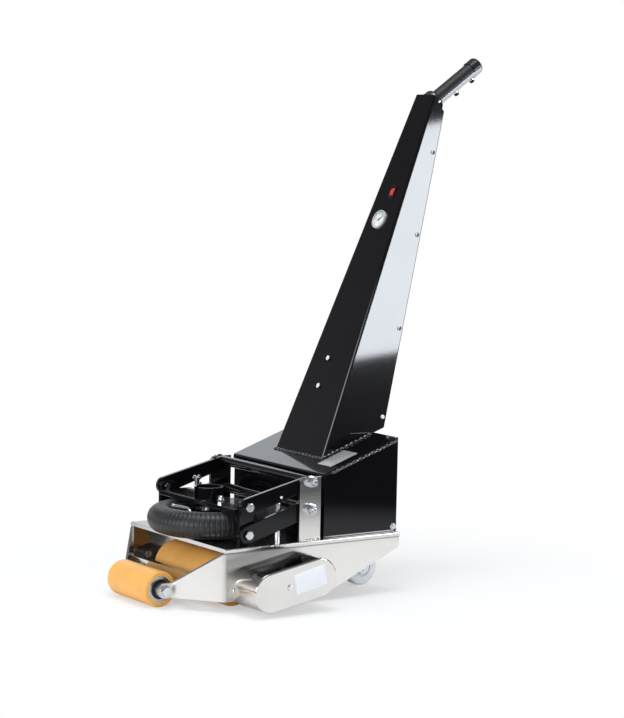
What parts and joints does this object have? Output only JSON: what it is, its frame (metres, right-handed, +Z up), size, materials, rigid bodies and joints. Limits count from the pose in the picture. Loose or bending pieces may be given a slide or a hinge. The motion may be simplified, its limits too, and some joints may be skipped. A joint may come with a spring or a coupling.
{
  "type": "roller dolly",
  "caption": "Powered walk-behind roller dolly: steel chassis, chain-driven roller, battery box, leaning column with handle, and a parallel-arm coupling head over a flat wheel.",
  "frame": {"origin": "on the floor, below the middle of the whole machine's bounding box", "axes": "+X forwards to the front roller, +Y to the left side with the chain case, +Z up"},
  "size_m": [0.8704, 0.466, 1.1104],
  "materials": {
    "bright_steel": "bright stainless sheet, faintly brushed",
    "zinc_steel": "zinc-plated fasteners and fittings",
    "machined_steel": "turned and ground steel, lightly oiled",
    "dark_iron": "black cast housings",
    "black_paint": "gloss black paint",
    "roller_urethane": "satin amber polyurethane",
    "tyre_rubber": "dark grey ribbed rubber",
    "castor_grey": "light grey moulded wheel",
    "black_plastic": "black moulded plastic",
    "controller_aluminium": "bare extruded case",
    "gauge_rim": "bright bezel on a dark case",
    "gauge_white": "white dial without lettering",
    "needle_black": "black pointer",
    "clear_lens": "clear flat lens",
    "switch_red": "translucent red rocker"
  },
  "bodies": {
    "chassis": {"deck_plate": "bright_steel", "side_plate_left": "bright_steel", "side_plate_right": "bright_steel", "cross_plate": "bright_steel", "front_axle": "machined_steel", "shaft_bearings": "dark_iron", "chassis_bolts": "zinc_steel", "gear_motor": "dark_iron", "drive_chain": "machined_steel", "chain_case": "bright_steel", "box_shell": "black_paint", "box_lid": "black_paint", "batteries": "black_plastic", "column_shell": "black_paint", "column_cover": "black_paint", "column_screws": "zinc_steel", "controller": "controller_aluminium", "gauge_body": "gauge_rim", "gauge_dial": "gauge_white", "gauge_lens": "clear_lens", "switch_frame": "black_plastic", "handle_socket": "black_paint", "handle_tube": "black_paint", "grip_cap": "black_plastic", "guide_posts": "zinc_steel", "button_switches": "zinc_steel", "brackets": "bright_steel", "pivot_rods": "zinc_steel", "pivot_nuts": "zinc_steel", "castor_plates": "zinc_steel"},
    "front_roller": {"front_roller_tyre": "roller_urethane", "front_roller_core": "machined_steel", "front_roller_bearings": "machined_steel"},
    "drive_roller": {"drive_roller_tyre": "roller_urethane", "drive_roller_core": "machined_steel", "drive_shaft": "machined_steel", "drive_sprocket": "machined_steel"},
    "motor_output": {"motor_shaft": "machined_steel", "motor_sprocket": "machined_steel"},
    "lower_linkage": {"lower_arms": "black_paint", "lower_cross_tube": "black_paint"},
    "upper_linkage": {"upper_arms": "black_paint", "upper_cross_tube": "black_paint"},
    "coupling_carrier": {"head_sides": "black_paint", "head_plate": "black_paint", "coupling_tube": "black_paint", "head_bolts": "zinc_steel", "wheel_axle": "machined_steel"},
    "flat_wheel": {"wheel_rim": "black_paint", "wheel_bearings": "machined_steel", "wheel_tyre": "tyre_rubber"},
    "wing_bolt": {"wing_bolt": "zinc_steel"},
    "castor_left": {"castor_fork_left": "zinc_steel"},
    "castor_right": {"castor_fork_right": "zinc_steel"},
    "castor_roll_left": {"castor_wheel_left": "castor_grey"},
    "castor_roll_right": {"castor_wheel_right": "castor_grey"},
    "needle": {"gauge_needle": "needle_black"},
    "rocker": {"switch_rocker": "switch_red"},
    "forward_button": {"button_forward": "black_plastic"},
    "reverse_button": {"button_reverse": "black_plastic"}
  },
  "joints": [
    {"name": "front_roller_spin", "type": "hinge", "parent": "chassis", "child": "front_roller", "pos_m": [0.39923, -0.044, 0.036], "axis": [0, 1, 0], "continuous": true},
    {"name": "drive_roller_spin", "type": "hinge", "parent": "chassis", "child": "drive_roller", "pos_m": [0.26523, -0.021, 0.05], "axis": [0, 1, 0], "continuous": true, "deforming": ["drive_chain"]},
    {"name": "motor_spin", "type": "hinge", "parent": "chassis", "child": "motor_output", "pos_m": [0.15277, 0.156, 0.07044], "axis": [0, 1, 0], "continuous": true},
    {"name": "castor_swivel_left", "type": "hinge", "parent": "chassis", "child": "castor_left", "pos_m": [-0.05477, 0.029, 0.1], "axis": [0, 0, 1], "continuous": true},
    {"name": "castor_swivel_right", "type": "hinge", "parent": "chassis", "child": "castor_right", "pos_m": [-0.05477, -0.117, 0.1], "axis": [0, 0, 1], "continuous": true},
    {"name": "castor_spin_left", "type": "hinge", "parent": "castor_left", "child": "castor_roll_left", "pos_m": [-0.08677, 0.029, 0.038], "axis": [0, 1, 0], "continuous": true},
    {"name": "castor_spin_right", "type": "hinge", "parent": "castor_right", "child": "castor_roll_right", "pos_m": [-0.08677, -0.117, 0.038], "axis": [0, 1, 0], "continuous": true},
    {"name": "lift", "type": "hinge", "parent": "chassis", "child": "lower_linkage", "pos_m": [0.10823, -0.044, 0.189], "axis": [0, -1, 0], "range_deg": [0, 28.5]},
    {"name": "upper_arm_swing", "type": "hinge", "parent": "chassis", "child": "upper_linkage", "pos_m": [0.10823, -0.044, 0.245], "axis": [0, -1, 0], "range_deg": [0, 28.5]},
    {"name": "head_level", "type": "hinge", "parent": "lower_linkage", "child": "coupling_carrier", "pos_m": [0.2519, -0.044, 0.1459], "axis": [0, -1, 0], "range_deg": [-28.5, 0]},
    {"name": "flat_wheel_spin", "type": "hinge", "parent": "coupling_carrier", "child": "flat_wheel", "pos_m": [0.24223, -0.044, 0.156], "axis": [0, 0, 1], "continuous": true},
    {"name": "wing_bolt_turn", "type": "hinge", "parent": "coupling_carrier", "child": "wing_bolt", "pos_m": [0.23223, -0.106, 0.19], "axis": [0, 0, 1], "continuous": true},
    {"name": "needle_turn", "type": "hinge", "parent": "chassis", "child": "needle", "pos_m": [-0.17466, -0.047, 0.76258], "axis": [0.925, 0, 0.3799], "range_deg": [-87, 183]},
    {"name": "rocker_tilt", "type": "hinge", "parent": "chassis", "child": "rocker", "pos_m": [-0.20167, -0.036, 0.82176], "axis": [0, 1, 0], "range_deg": [0, 20]},
    {"name": "forward_press", "type": "slide", "parent": "chassis", "child": "forward_button", "axis": [0.5736, 0, 0.8192], "range_m": [0, 0.0015], "stiffness_N_per_m": 600},
    {"name": "reverse_press", "type": "slide", "parent": "chassis", "child": "reverse_button", "axis": [0.5736, 0, 0.8192], "range_m": [0, 0.0015], "stiffness_N_per_m": 600}
  ],
  "couplings": [
    {"joint": "motor_spin", "follows": "drive_roller_spin", "ratio": 1},
    {"joint": "upper_arm_swing", "follows": "lift", "ratio": 1},
    {"joint": "head_level", "follows": "lift", "ratio": -1}
  ]
}
